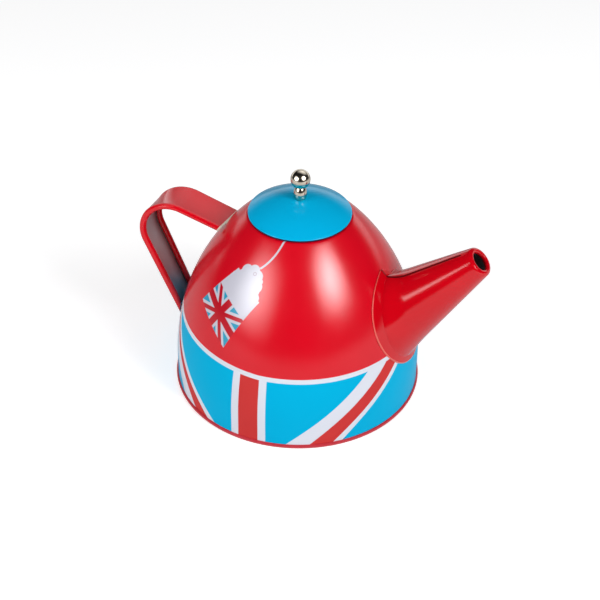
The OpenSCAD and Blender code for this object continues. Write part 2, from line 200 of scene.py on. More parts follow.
@dataclass(frozen=True)
class Finish:
    """One real surface, as a procedural material on Object coordinates.

    Its two near tones mix in soft patches. Its roughness varies with a finer haze, and peel is the fine
    unevenness of its skin. Handling leaves hairlines, which are noise that is turned and stretched, and
    only its highest parts show.
    """

    name: str
    colour: str
    shade: str
    roughness: float
    metallic: float = 0.0
    specular: float = 0.5
    rough_spread: float = 0.06
    patch_mm: float = 14.0
    haze_finer: float = 2.4
    peel_mm: float = 1.1
    peel_depth_mm: float = 0.004
    scratch_mm: float = 0.7
    scratch: float = 0.12
    scratch_turn: Point = (0.5, 0.3, 0.9)
    scratch_stretch: Point = (1.0, 0.06, 0.3)
    scratch_level: float = 0.8
    scratch_soft: float = 0.05
    scratch_depth: float = -0.1

    def base_colour(self, graph: Graph, place: Socket) -> Socket:
        """Mixes the finish's two near tones in soft patches.

        Args:
            graph: The material's nodes.
            place: Object coordinates in millimetres.

        Returns:
            The colour.
        """
        cloud = graph.add("ShaderNodeTexNoise", {"Vector": place, "Scale": 1 / self.patch_mm, "Detail": 4.0})
        return graph.paint(linear(self.colour), linear(self.shade), cloud)

    def material(self) -> bpy.types.Material:
        """Makes the material, or gives it back where it is there already.

        Returns:
            The material.
        """
        made = bpy.data.materials.get(self.name)
        if made:
            return made
        made = bpy.data.materials.new(self.name)
        made.use_nodes = True
        graph = Graph(made.node_tree)
        metres = graph.add("ShaderNodeTexCoord", out="Object")
        place = graph.add("ShaderNodeVectorMath", metres, (1 / MM,) * 3, operation="MULTIPLY")
        # The hairlines are drawn coarser than real ones, so that they show at all.
        stretched = graph.add("ShaderNodeMapping", {
            "Vector": place, "Rotation": self.scratch_turn, "Scale": self.scratch_stretch})
        hair = graph.add("ShaderNodeTexNoise", {
            "Vector": stretched, "Scale": 1 / self.scratch_mm, "Detail": 2.0})
        line = graph.band(hair, self.scratch_level, FAR, self.scratch_soft)
        haze = graph.add("ShaderNodeTexNoise", {
            "Vector": place, "Scale": self.haze_finer / self.patch_mm, "Detail": 5.0})
        least = self.roughness - self.rough_spread / 2
        rough = graph.add(MATH, haze, self.rough_spread, least, operation="MULTIPLY_ADD")
        rough = graph.add(MATH, line, self.scratch, rough, operation="MULTIPLY_ADD", use_clamp=True)
        peel = graph.add("ShaderNodeTexNoise", {"Vector": place, "Scale": 1 / self.peel_mm, "Detail": 3.0})
        relief = graph.add(MATH, line, self.scratch_depth, peel, operation="MULTIPLY_ADD")
        bump = graph.add("ShaderNodeBump", {
            "Height": relief, "Strength": 1.0, "Distance": self.peel_depth_mm * MM})
        shader = graph.add("ShaderNodeBsdfPrincipled", {
            "Base Color": self.base_colour(graph, place), "Roughness": rough, "Metallic": self.metallic,
            "Normal": bump, "Specular IOR Level": self.specular})
        graph.add("ShaderNodeOutputMaterial", {"Surface": shader})
        return made


@dataclass(frozen=True)
class FlagPrint(Finish):
    """Lithographed tinplate: red dome, a flag's stripes on a cyan foot, and a paper tag on a string.

    An edge of a slanting stripe is its angle from the upright bar, as Graph.curve's start, slope and bend
    over the height. The tag lies flat on the dome: u runs along it towards its head and v across it, and
    its scallops are circles, each as u, v and radius.
    """

    cyan: str = "#00abdc"
    white: str = "#d6dae4"
    soft_deg: float = 0.12
    soft_mm: float = 0.09
    line_z: float = 30.1
    line_tilt: float = 0.05
    line_half: float = 0.9
    bar_az: float = -94.4
    bar_red_deg: float = 4.8
    bar_white_deg: float = 8.45
    half_repeat_deg: float = 90.0
    white_start: Point = (15.85, 1.3, 0.0045)
    red_start: Point = (26.88, 1.233, 0.0076)
    red_end: Point = (37.99, 1.125, 0.0115)
    white_end: Point = (42.39, 1.064, 0.0138)
    back_shift_deg: float = 0.7
    back_thin_deg: float = 4.5
    back_red_deg: float = 10.0
    back_red_slope: float = -0.25
    back_wide_deg: float = 11.5
    paper: str = "#c6c5d1"
    teal: str = "#1f96b8"
    flag_red: str = "#b8001c"
    eyelet: str = "#a89bab"
    tag_at: Point = (-18.763, -34.357, 46.865)
    tag_u: Point = (0.5512, 0.1379, 0.8229)
    tag_v: Point = (-0.7126, 0.5909, 0.3782)
    tag_out: Point = (-0.4341, -0.7948, 0.424)
    tag_depth: float = 12.0
    corners: tuple[Flat, ...] = ((-4.78, 10.73), (-7.47, -9.95), (15.69, -7.32), (16.66, 8.11))
    scallops: tuple[Point, ...] = (
        (19.0, 4.9, 2.35), (21.2, 3.0, 2.15), (20.6, 0.7, 2.4), (20.2, -1.4, 1.45), (18.2, -1.9, 2.55),
        (15.0, -4.6, 2.2), (15.0, 1.0, 6.3))
    eyelet_at: Point = (20.72, 1.84, 0.0)
    eyelet_in: float = 0.4
    eyelet_out: float = 0.72
    string_half: float = 0.36
    string_low: Flat = (25.3, 2.0)
    string_bend: float = 0.035
    string_from: float = 23.3
    string_to: float = 40.0
    diagonals: tuple[tuple[Flat, Flat], ...] = (
        ((6.91, 7.96), (-6.99, -6.96)), ((-5.27, 8.51), (6.25, -8.51)))
    diagonal_white: float = 1.85
    diagonal_red: float = 0.8
    cross: tuple[tuple[Flat, Flat], ...] = (((1.05, 8.74), (-1.0, -9.51)), ((-7.09, 0.85), (6.29, 0.19)))
    cross_white: float = 2.4
    cross_red: float = 1.4
    flag_top: tuple[Flat, Flat] = ((6.8, 0.0), (6.5, -10.87))

    def base_colour(self, graph: Graph, place: Socket) -> Socket:
        """Draws the print in the order in which its inks lie.

        Args:
            graph: The material's nodes.
            place: Object coordinates in millimetres.

        Returns:
            The colour.
        """
        red = super().base_colour(graph, place)
        x, y, z = graph.add("ShaderNodeSeparateXYZ", place).node.outputs
        colour = self.stripes(graph, x, y, z, red)
        # The white line rises a little towards the handle, and all above it is red.
        back = graph.add(MATH, graph.add(MATH, x, -1.0, operation="MULTIPLY"), 0.0, operation="MAXIMUM")
        level = graph.add(MATH, back, self.line_tilt, self.line_z, operation="MULTIPLY_ADD")
        height = graph.add(MATH, z, level, operation="SUBTRACT")
        for ink, low in ((linear(self.white), -self.line_half), (red, self.line_half)):
            colour = graph.paint(colour, ink, graph.band(height, low, FAR, self.soft_mm))
        return self.tag(graph, place, colour)

    def stripes(self, graph: Graph, x: Socket, y: Socket, z: Socket, red: Socket) -> Socket:
        """Draws the flag's upright bar and its slanting stripes round the foot.

        Args:
            graph: The material's nodes.
            x: Distance along X.
            y: Distance along Y.
            z: Height.
            red: The red ink.

        Returns:
            The colour of the foot's band.
        """
        white = linear(self.white)
        turn = graph.add(MATH, graph.add(MATH, y, x, operation="ARCTAN2"), operation="DEGREES")
        turn = graph.add(MATH, turn, -self.bar_az, operation="ADD")
        turn = graph.add(MATH, turn, self.half_repeat_deg, -self.half_repeat_deg, operation="WRAP")
        mirror = graph.add(MATH, turn, -1.0, operation="MULTIPLY")
        # Towards the spout a thin white stripe lies on the far side of the red one.
        edges = (self.white_start, self.red_start, self.red_end, self.white_end)
        start, inner, outer, end = (graph.curve(z, *edge) for edge in edges)
        # Towards the handle the wide one lies there.
        near = graph.add(MATH, start, self.back_shift_deg, operation="ADD")
        first = graph.add(MATH, near, self.back_thin_deg, operation="ADD")
        wide = graph.curve(z, self.back_red_deg, self.back_red_slope, 0.0)
        second = graph.add(MATH, first, wide, operation="ADD")
        last = graph.add(MATH, second, self.back_wide_deg, operation="ADD")
        colour = linear(self.cyan)
        for ink, side, low, high in (
            (white, turn, start, end),
            (red, turn, inner, outer),
            (white, mirror, near, last),
            (red, mirror, first, second),
            (white, turn, -self.bar_white_deg, self.bar_white_deg),
            (red, turn, -self.bar_red_deg, self.bar_red_deg),
        ):
            colour = graph.paint(colour, ink, graph.band(side, low, high, self.soft_deg))
        return colour

    def tag(self, graph: Graph, place: Socket, under: Socket) -> Socket:
        """Draws the tag with its scalloped head, flag and string, flat on the dome's near side.

        Args:
            graph: The material's nodes.
            place: Object coordinates in millimetres.
            under: The colour below.

        Returns:
            The colour with the tag on it.
        """
        offset = graph.add("ShaderNodeVectorMath", place, self.tag_at, operation="SUBTRACT")
        u, v, w = (graph.add("ShaderNodeVectorMath", offset, axis, out="Value", operation="DOT_PRODUCT")
                   for axis in (self.tag_u, self.tag_v, self.tag_out))
        near = graph.band(w, -self.tag_depth, FAR, self.soft_mm)
        sheet = 1.0
        for start, end in zip(self.corners, self.corners[1:] + self.corners[:1]):
            side = graph.band(graph.beside(u, v, start, end), 0.0, FAR, self.soft_mm)
            sheet = graph.add(MATH, sheet, side, operation="MULTIPLY")
        spot = graph.add("ShaderNodeCombineXYZ", u, v)
        for along, across, radius in self.scallops:
            middle = (along, across, 0.0)
            away = graph.add("ShaderNodeVectorMath", spot, middle, out="Value", operation="DISTANCE")
            scallop = graph.band(away, -FAR, radius, self.soft_mm)
            sheet = graph.add(MATH, sheet, scallop, operation="MAXIMUM")
        away = graph.add("ShaderNodeVectorMath", spot, self.eyelet_at, out="Value", operation="DISTANCE")
        ring = graph.band(away, self.eyelet_in, self.eyelet_out, self.soft_mm)
        drawn = graph.paint(self.small_flag(graph, u, v), linear(self.eyelet), ring)
        # The string leaves the eyelet in a shallow curve and runs up under the lid.
        low_u, low_v = self.string_low
        sag = graph.add(MATH, u, low_u, operation="SUBTRACT")
        wave = graph.add(MATH, v, graph.curve(sag, low_v, 0.0, self.string_bend), operation="SUBTRACT")
        reach = graph.band(u, self.string_from, self.string_to, self.soft_mm)
        string = graph.band(wave, -self.string_half, self.string_half, self.soft_mm)
        string = graph.add(MATH, string, reach, operation="MULTIPLY")
        sheet, string = (graph.add(MATH, mask, near, operation="MULTIPLY") for mask in (sheet, string))
        return graph.paint(graph.paint(under, linear(self.paper), string), drawn, sheet)

    def small_flag(self, graph: Graph, u: Socket, v: Socket) -> Socket:
        """Draws the flag on the tag's lower part.

        Args:
            graph: The material's nodes.
            u: Distance along the tag, towards its head.
            v: Distance across the tag.

        Returns:
            The tag's colour.
        """
        nearest = []
        for pair in (self.diagonals, self.cross):
            away = [graph.add(MATH, graph.beside(u, v, *line), operation="ABSOLUTE") for line in pair]
            nearest.append(graph.add(MATH, *away, operation="MINIMUM"))
        diagonal, cross = nearest
        paper, red = linear(self.paper), linear(self.flag_red)
        colour = linear(self.teal)
        for ink, away, half in (
            (paper, diagonal, self.diagonal_white),
            (paper, cross, self.cross_white),
            (red, diagonal, self.diagonal_red),
            (red, cross, self.cross_red),
        ):
            colour = graph.paint(colour, ink, graph.band(away, -FAR, half, self.soft_mm))
        above = graph.band(graph.beside(u, v, *self.flag_top), 0.0, FAR, self.soft_mm)
        return graph.paint(colour, paper, above)


# Lithographed tinplate under a satin varnish: deep even inks with wide soft highlights.
PRINT = FlagPrint("lithographed_tinplate_satin", "#d6001c", "#cb0017", 0.21, specular=0.45)
# The same print on the foot, under a thinner and duller varnish that hardly shines; its paler reds carry a
# painted reflection of the white floor.
FOOT = FlagPrint("lithographed_tinplate_dull", "#cd3c3b", "#c23534", 0.3, specular=0.03, cyan="#00acd8")
# Stoved enamel on the strap: even red with a soft sheen.
RED = Finish("stoved_enamel_red_satin", "#d80018", "#cc0014", 0.17)
# The rim: the same red, paler and duller.
RIM = Finish("stoved_enamel_red_pale", "#c42e3a", "#b82834", 0.4, specular=0.8)
# The spout's enamel is thicker and wet-looking, so that lights draw crisp streaks on it.
GLOSS = Finish("stoved_enamel_red_gloss", "#cc0014", "#c00010", 0.12, peel_mm=1.8)
# Enamel on the lid: flat cyan with a faint milky sheen towards the far edge.
CYAN = Finish("stoved_enamel_cyan_satin", "#00b0e0", "#00a9d9", 0.17, specular=0.16)
# The underside of the lid's hem: cyan darkened to navy as painted shade, which draws a dark line under the
# lid.
HEM_PAINTED_SHADE = Finish("stoved_enamel_cyan_painted_shade", "#17264a", "#101c3a", 0.4, specular=0.2)
# The spout lip's hemmed edge: a paler red line round the spout's foot, a painted highlight of the light on
# its rounded edge.
LIP_HIGHLIGHT = Finish("stoved_enamel_red_painted_highlight", "#e8665c", "#dc5a52", 0.3)
# The spout lap's cut edge: a fine dark line along the spout, painted shadow of the lap's edge.
LAP_PAINTED_SHADOW = Finish("stoved_enamel_red_painted_shadow", "#6c0910", "#5a070c", 0.4, specular=0.2)
# The strap's cut end: bright bare tin in a narrow pale line.
END = Finish("bare_tinplate_cut", "#e8decd", "#d4c9b8", 0.4, metallic=0.2)
# Bare rolled tinplate inside the pot, the strap and the lid: dull grey, faintly brushed.
TIN = Finish("bare_tinplate_rolled", "#c6c3c6", "#b0adb0", 0.46, metallic=0.6, rough_spread=0.16,
             scratch=0.2, peel_mm=0.8, peel_depth_mm=0.006)
# Nickel plate, turned and polished: a bright mirror, slightly warm.
NICKEL = Finish("polished_nickel_plate", "#d6cdbd", "#cabfae", 0.15, metallic=1.0, rough_spread=0.05,
                scratch=0.08, peel_depth_mm=0.001)
# Zinc plate on the screw: bluish grey with a fine dull grain.
ZINC = Finish("zinc_plated_steel", "#b9bec4", "#a3a8b0", 0.34, metallic=1.0, rough_spread=0.2, peel_mm=0.5)


def deselect() -> None:
    """Leaves nothing selected."""
    bpy.ops.object.select_all(action="DESELECT")


def loop_start(name: str, ring: list[Point]) -> bpy.types.Object:
    """Adds a circle and lays its vertices along a ring of points.

    Args:
        name: The new piece's name.
        ring: The points, in millimetres.

    Returns:
        The piece.
    """
    deselect()
    bpy.ops.mesh.primitive_circle_add(vertices=len(ring), radius=MM)
    piece = bpy.context.object
    piece.name = piece.data.name = name
    for vertex, place in zip(piece.data.vertices, ring):
        vertex.co = Vector(place) * MM
    return piece


def loft(name: str, rings: list[list[Point]], capped: bool) -> bpy.types.Object:
    """Extrudes a loop of edges from ring to ring.

    Args:
        name: The new piece's name.
        rings: Rings of as many points each, in millimetres.
        capped: Whether both ends are filled. Otherwise the last ring is the first again.

    Returns:
        The piece, closed and with its faces outwards.
    """
    piece = loop_start(name, rings[0])
    bpy.ops.object.mode_set(mode="EDIT")
    bpy.ops.mesh.select_mode(type="VERT")
    bpy.ops.mesh.select_all(action="SELECT")
    if capped:
        bpy.ops.mesh.edge_face_add()
        bpy.ops.mesh.select_all(action="SELECT")
        # The cap stays behind, so only the loop's edges are extruded.
        bpy.ops.mesh.select_mode(type="EDGE")
    order = list(range(len(rings[0])))
    for ring in rings[1:]:
        bpy.ops.mesh.extrude_edges_move()
        edit = bmesh.from_edit_mesh(piece.data)
        edit.verts.ensure_lookup_table()
        following = []
        for place, number in zip(ring, order):
            corner = edit.verts[number]
            new = next(e.other_vert(corner) for e in corner.link_edges if e.other_vert(corner).select)
            new.co = Vector(place) * MM
            following.append(new)
        edit.verts.index_update()
        order = [v.index for v in following]
        bmesh.update_edit_mesh(piece.data)
    if capped:
        bpy.ops.mesh.edge_face_add()
    bpy.ops.mesh.select_all(action="SELECT")
    bpy.ops.mesh.remove_doubles(threshold=MERGE_MM * MM)
    bpy.ops.mesh.normals_make_consistent(inside=False)
    bpy.ops.object.mode_set(mode="OBJECT")
    return piece


def turned(name: str, profile: list[Flat], closed: bool, steps: int = 256) -> bpy.types.Object:
    """Spins a profile round the pot's axis.

    Args:
        name: The new piece's name.
        profile: Points as distance from the axis and height, in millimetres.
        closed: Whether the profile is a closed loop. Otherwise both its ends lie on the axis.
        steps: Faces round the axis.

    Returns:
        The piece, closed and with its faces outwards.
    """
    piece = loop_start(name, [(x, 0.0, z) for x, z in profile])
    bpy.ops.object.mode_set(mode="EDIT")
    if not closed:
        bpy.ops.mesh.select_mode(type="EDGE")
        bpy.ops.mesh.select_all(action="DESELECT")
        edit = bmesh.from_edit_mesh(piece.data)
        edit.verts.ensure_lookup_table()
        first, last = edit.verts[0], edit.verts[len(profile) - 1]
        for edge in first.link_edges:
            edge.select = edge.other_vert(first) == last
        bmesh.update_edit_mesh(piece.data)
        bpy.ops.mesh.delete(type="EDGE")
    bpy.ops.mesh.select_mode(type="VERT")
    bpy.ops.mesh.select_all(action="SELECT")
    bpy.ops.mesh.spin(steps=steps, angle=2 * math.pi, center=(0, 0, 0), axis=(0, 0, 1))
    bpy.ops.mesh.select_all(action="SELECT")
    bpy.ops.mesh.remove_doubles(threshold=MERGE_MM * MM)
    bpy.ops.mesh.dissolve_degenerate(threshold=SLIVER_MM * MM)
    bpy.ops.mesh.normals_make_consistent(inside=False)
    bpy.ops.object.mode_set(mode="OBJECT")
    return piece


def cut(piece: bpy.types.Object, cutter: bpy.types.Object) -> None:
    """Takes the cutter's space out of a piece and deletes the cutter.

    Args:
        piece: What is cut.
        cutter: A closed mesh.
    """
    deselect()
    bpy.context.view_layer.objects.active = piece
    piece.select_set(True)
    modifier = piece.modifiers.new("cut", "BOOLEAN")
    modifier.operation, modifier.object, modifier.solver = "DIFFERENCE", cutter, "EXACT"
    bpy.ops.object.modifier_apply(modifier=modifier.name)
    bpy.data.objects.remove(cutter)


def join(piece: bpy.types.Object, *others: bpy.types.Object) -> None:
    """Makes other pieces part of one.

    Args:
        piece: What they become part of.
        others: The pieces that go into it.
    """
    deselect()
    for one in (piece, *others):
        one.select_set(True)
    bpy.context.view_layer.objects.active = piece
    bpy.ops.object.join()


def dress(piece: bpy.types.Object, finishes: list[Finish],
          choose: Callable[[Vector, Vector], int] | None = None) -> None:
    """Gives a piece its finishes, face by face.

    Args:
        piece: What is dressed.
        finishes: One finish for each material slot.
        choose: Gives a face's slot from its centre in millimetres and its normal. Without it, all faces
            take the first finish.
    """
    piece.data.materials.clear()
    for finish in finishes:
        piece.data.materials.append(finish.material())
    for face in piece.data.polygons:
        face.material_index = choose(face.center / MM, face.normal) if choose else 0


def hand_over(piece: bpy.types.Object, body: Body, node: str, smooth_deg: float = 35.0) -> None:
    """Shades a finished piece and hands it to the frame in place of its CAD node.

    Args:
        piece: The finished piece.
        body: The body it rides on.
        node: The CAD node it stands for.
        smooth_deg: Edges sharper than this stay sharp.
    """
    deselect()
    piece.select_set(True)
    bpy.context.view_layer.objects.active = piece
    bpy.ops.object.shade_smooth_by_angle(angle=math.radians(smooth_deg))
    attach(piece, body.value)
    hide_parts(node)
    LOG.info("%s: %d faces, rides on %s", piece.name, len(piece.data.polygons), body.value)


def arc(centre: Flat, radius: float, start_deg: float, end_deg: float, steps: int) -> list[Flat]:
    """Lists points along an arc.

    Args:
        centre: Its centre.
        radius: Its radius.
        start_deg: The angle of its first point.
        end_deg: The angle of its last point.
        steps: How many chords it has.

    Returns:
        The points, both ends included.
    """
    turns = [math.radians(start_deg + (end_deg - start_deg) * k / steps) for k in range(steps + 1)]
    return [(centre[0] + radius * math.cos(t), centre[1] + radius * math.sin(t)) for t in turns]


@dataclass
class Shell:
    """The pressed dome on its straight wall, with the mouth's turned edge."""

    rim_d: float = 96.0
    rim_proud: float = 0.74
    bead_d: float = 1.7
    tin_t: float = 0.4
    wall_h: float = 10.4
    dome_r: float = 86.0
    mouth_d: float = 35.8
    edge_r: float = 1.2
    flange_h: float = 2.0
    foot_flat: float = 0.12
    slot_gap: float = 0.2
    dome_steps: int = 60
    edge_steps: int = 16

    def __post_init__(self) -> None:
        """Works out the places that follow from the sizes."""
        self.wall_r = self.rim_d / 2 - self.rim_proud
        self.arc_x = self.wall_r - self.dome_r
        self.bead_z = self.bead_d / 2 * (1 - self.foot_flat)
        self.mouth_r = self.mouth_d / 2
        self.edge_x = self.mouth_r + self.edge_r
        self.edge_z = self.wall_h + math.sqrt(
            (self.dome_r - self.edge_r) ** 2 - (self.edge_x - self.arc_x) ** 2)
        self.edge_deg = math.degrees(math.atan2(self.edge_z - self.wall_h, self.edge_x - self.arc_x))

    def rho(self, z: float, off: float = 0.0) -> float:
        """Works out the dome's radius at a height.

        Args:
            z: The height.
            off: How far the dome is grown outwards.

        Returns:
            The distance from the axis.
        """
        if z < self.wall_h:
            return self.wall_r + off
        return self.arc_x + math.sqrt((self.dome_r + off) ** 2 - (z - self.wall_h) ** 2)

    def normal_deg(self, z: float) -> float:
        """Angle from level at which the dome faces outwards at height z."""
        return 0.0 if z < self.wall_h else math.degrees(math.asin((z - self.wall_h) / self.dome_r))

    def outside(self, p: np.ndarray) -> float:
        """Distance of a point outside the dome."""
        return math.hypot(math.hypot(p[0], p[1]) - self.arc_x, p[2] - self.wall_h) - self.dome_r

    def printed(self, centre: Vector, normal: Vector) -> int:
        """Gives 1 on the sheet's bare side, 2 on its foot up to the white line and 0 on the dome above it.

        Args:
            centre: A face's centre.
            normal: Its normal.

        Returns:
            The material slot.
        """
        half = self.tin_t / 2
        rho, z = math.hypot(centre.x, centre.y), centre.z
        # The foot's print has paler reds that carry a painted reflection of the floor.
        ink = 2 * int(z < FOOT.line_z + FOOT.line_tilt * max(0.0, -centre.x))
        if z < self.wall_h:
            return 1 if rho < self.wall_r - half else ink
        if self.outside(np.array(centre)) > -half or rho < self.mouth_r + half and z < self.edge_z:
            return ink
        round_edge = math.degrees(math.atan2(z - self.edge_z, rho - self.edge_x)) > self.edge_deg
        return int(not (round_edge and math.hypot(rho - self.edge_x, z - self.edge_z) > self.edge_r - half))

    def build(self, spout: "Spout", handle: "Handle") -> bpy.types.Object:
        """Spins the sheet and cuts its holes.

        Args:
            spout: Whose neck goes through the dome.
            handle: Whose tabs go through the dome.

        Returns:
            The shell.
        """
        centre, edge = (self.arc_x, self.wall_h), (self.edge_x, self.edge_z)
        inner_r, foot = self.mouth_r + self.tin_t, self.edge_z - self.flange_h
        outside = arc(centre, self.dome_r, 0, self.edge_deg, self.dome_steps)
        outside += arc(edge, self.edge_r, self.edge_deg, 180, self.edge_steps)[1:]
        inside = arc(edge, self.edge_r - self.tin_t, 180, self.edge_deg, self.edge_steps)
        inside += arc(centre, self.dome_r - self.tin_t, self.edge_deg, 0, self.dome_steps)[1:]
        profile = [(self.wall_r, self.bead_z), (self.wall_r, self.wall_h / 2)] + outside
        profile += [(self.mouth_r, foot), (inner_r, foot)] + inside
        profile += [(self.wall_r - self.tin_t, self.wall_h / 2), (self.wall_r - self.tin_t, self.bead_z)]
        shell = turned("body_print", profile, closed=True)
        cut(shell, spout.hole_cutter())
        for cutter in handle.slot_cutters():
            cut(shell, cutter)
        return shell


@dataclass
class Spout:
    """The rolled cone with its lap seam, flared lip and curled tip.

    Sheets are counted in thicknesses of the tin. Inner and outer shares place the section's points along
    the straight tube between curl and flare. The lap's cut edge is painted dark, as its shadow, only along
    the tube's middle.
    """

    shell: Shell
    seat_z: float = 40.8
    rise_deg: float = 46.1
    length: float = 39.0
    root_d: float = 27.6
    tip_d: float = 11.1
    hole_d: float = 7.0
    lip_w: float = 40.2
    lip_h: float = 38.0
    lip_mid_z: float = 39.7
    lip_far_w: float = 0.9
    flare_h: float = 8.0
    flare_power: float = 2.2
    seam_deg: float = 11.0
    lap_deg: float = 40.0
    blend_deg: float = 18.0
    groove_deg: float = 5.0
    groove_depth: float = 0.2
    seat_gap: float = 0.06
    lip_band: float = 0.6
    lap_fade: float = 0.12
    lip_sheets: float = 1.4
    lip_from: float = 0.09
    clinch_sheets: float = 1.6
    cut_from: float = 0.12
    cut_to: float = 0.86
    cut_edge_deg: Flat = (-0.5, 0.55)
    curl_deg: int = 240
    curl_step_deg: int = 15
    hem_half_deg: int = 60
    hem_step_deg: int = 30
    flare_steps: int = 16
    throat_steps: int = 5
    inner_shares: tuple[float, ...] = (0.25, 0.5, 0.75)
    outer_shares: tuple[float, ...] = (0.75, 0.5, 0.25, 0.125, 0.0625, 0.0)
    seam_lines_deg: tuple[float, ...] = (-4.0, -3.2, -2.4, -1.6, -0.8, -0.02, 0.6)
    sides: int = 180
    settle_steps: int = 24
    samples_a_deg: int = 4
    cutter_sides: int = 96

    def __post_init__(self) -> None:
        """Works out the axis and what follows from the sizes."""
        rise = math.radians(self.rise_deg)
        self.tin_t = self.shell.tin_t
        self.dir = np.array([math.cos(rise), 0.0, math.sin(rise)])
        self.up = np.array([-math.sin(rise), 0.0, math.cos(rise)])
        self.side = np.array([0.0, 1.0, 0.0])
        seat = np.array([self.shell.rho(self.seat_z), 0.0, self.seat_z])
        self.tip = seat + self.length * self.dir
        self.slope = (self.root_d - self.tip_d) / 2 / self.length
        self.curl_r = (self.tip_d - self.hole_d) / 4 + self.tin_t / 4
        self.lip_t = self.lip_sheets * self.tin_t
        self.clinch_w = self.clinch_sheets * self.tin_t

    def at(self, a: float, w: float, s: float) -> np.ndarray:
        """Places a point by the cone.

        Args:
            a: Angle round the spout's axis.
            w: Distance outside the cone's face.
            s: Distance back from the tip.

        Returns:
            The point.
        """
        turn = math.radians(a)
        out = math.cos(turn) * self.up + math.sin(turn) * self.side
        return self.tip - s * self.dir + (self.tip_d / 2 + s * self.slope + w) * out

    def on(self, a: float, w: float, h: float) -> np.ndarray:
        """Places a point where a line along the cone meets the dome.

        Args:
            a: The line's angle round the spout's axis.
            w: Its distance outside the cone's face.
            h: How far the dome is grown.

        Returns:
            The point.
        """
        s = self.length
        for _ in range(self.settle_steps):
            s += self.shell.outside(self.at(a, w, s)) - h
        return self.at(a, w, s)

    def polar(self, p: np.ndarray) -> Point:
        """Finds a point's place by the cone.

        Args:
            p: The point.

        Returns:
            Its angle round the spout's axis, its distance outside the cone's face and its distance back.
        """
        back = float((self.tip - p) @ self.dir)
        arm = p - self.tip + back * self.dir
        out = float(np.linalg.norm(arm)) - self.tip_d / 2 - back * self.slope
        return math.degrees(math.atan2(arm @ self.side, arm @ self.up)), out, back

    def lip_point(self, t: float) -> np.ndarray:
        """Places a point of the lip's edge, an ellipse seen along X that is laid on the dome.

        Args:
            t: Angle round the ellipse.

        Returns:
            The point.
        """
        y = self.lip_w / 2 * math.sin(math.radians(t))
        z = self.lip_mid_z + self.lip_h / 2 * math.cos(math.radians(t))
        return np.array([math.sqrt(self.shell.rho(z, self.lip_t) ** 2 - y * y), y, z])

    def lap(self, a: float, s: float) -> float:
        """Works out the lapped sheet's height.

        It falls away round the cone, and the lap is pressed flat at the tip.

        Args:
            a: Angle round the spout's axis.
            s: Distance back from the tip.

        Returns:
            The height over the cone's face, below zero in the groove beside the lap.
        """
        turn = (self.seam_deg + a) % 360
        fade = min(1.0, s / (self.lap_fade * self.length))
        if 360 - turn < self.groove_deg:
            return -self.groove_depth * fade * (1 - (360 - turn) / self.groove_deg)
        return self.tin_t * fade * max(0.0, 1 - turn / self.lap_deg)

    def line(self, t: float) -> list[Point]:
        """Works out one line of the sheet's section.

        Args:
            t: Angle round the lip.

        Returns:
            Its points, from the tip's curl down the inside, through the hole and back up the outside.
        """
        a, full, _ = self.polar(self.lip_point(t))
        past = (a + self.seam_deg) % 360
        wide = full
        if past < 180:
            # Past the seam the lip soon narrows.
            keep = max(0.0, 1 - past / self.blend_deg)
            wide = min(full, self.lip_far_w + keep * (full - self.lip_far_w))
        top, gap, deep = self.lip_t + self.seat_gap, self.seat_gap, self.tin_t + self.seat_gap
        out, tube = wide * (1 - self.lip_band), self.length - 2 * self.flare_h
        points = []
        for q in range(0, self.curl_deg + 1, self.curl_step_deg):
            turn = math.radians(q)
            w, s = -self.curl_r * (1 - math.cos(turn)), self.curl_r - self.curl_r * math.sin(turn)
            points.append(self.at(a, w, s))
        points += [self.at(a, -self.tin_t, share * tube + self.curl_r) for share in self.inner_shares]
        for k in range(1, self.throat_steps + 1):
            u = k / self.throat_steps
            w, h = out * u**self.flare_power - self.tin_t, self.flare_h + u * (deep - self.flare_h)
            points.append(self.on(a, w, h))
        # Through the hole, where the sheet is clinched behind the dome, and out under the lip.
        behind = -self.tin_t - deep
        places = [(-self.tin_t, deep), (-self.tin_t, behind), (self.clinch_w, behind),
                  (self.clinch_w, -deep), (0.0, -deep), (0.0, gap), (wide, gap)]
        # The lip's hemmed edge is round.
        for q in range(-self.hem_half_deg, self.hem_half_deg + 1, self.hem_step_deg):
            turn = math.radians(q)
            w, h = wide + self.lip_t / 3 * math.cos(turn), gap + self.lip_t / 2 * (1 + math.sin(turn))
            places.append((w, h))
        points += [self.on(a, w, h) for w, h in places + [(wide, top)]]
        # The flat band, then the flare up to the cone.
        for k in range(self.flare_steps, 0, -1):
            u = k / self.flare_steps
            w = out * u**self.flare_power + self.lap(a, self.length)
            points.append(self.on(a, w, self.flare_h + u * (top - self.flare_h)))
        for share in self.outer_shares:
            s = share * tube
            points.append(self.at(a, self.lap(a, s), self.curl_r + s))
        return [tuple(p) for p in points]

    def hole_cutter(self) -> bpy.types.Object:
        """Makes a cone a little wider than the neck, which ends inside the pot.

        Returns:
            The cutter.
        """
        grow = self.tin_t / 2 + self.shell.slot_gap
        deep = self.length + self.root_d / 2
        middle = self.tip - self.dir * deep / 2
        radius = self.tip_d / 2 + grow
        deselect()
        bpy.ops.mesh.primitive_cone_add(
            vertices=self.cutter_sides, radius1=(radius + deep * self.slope) * MM, radius2=radius * MM,
            depth=deep * MM, location=Vector(middle) * MM, rotation=(0, math.radians(90 - self.rise_deg), 0))
        return bpy.context.object

    def build(self) -> bpy.types.Object:
        """Lofts the sheet from ring to ring.

        Returns:
            The spout.
        """
        # Evenly spread lines, and some more beside the lap's seam so that its step is crisp.
        around = [k * 360 / self.sides - 180 for k in range(self.sides)]
        around += [d - self.seam_deg for d in self.seam_lines_deg]
        half = 180 * self.samples_a_deg
        sampled = np.arange(-half, half + 1) / self.samples_a_deg
        turns = np.interp(sorted(around), [self.polar(self.lip_point(t))[0] for t in sampled], sampled)
        rings = [list(ring) for ring in zip(*[self.line(t) for t in turns])]
        return loft("spout_cone", rings + [rings[0]], capped=False)

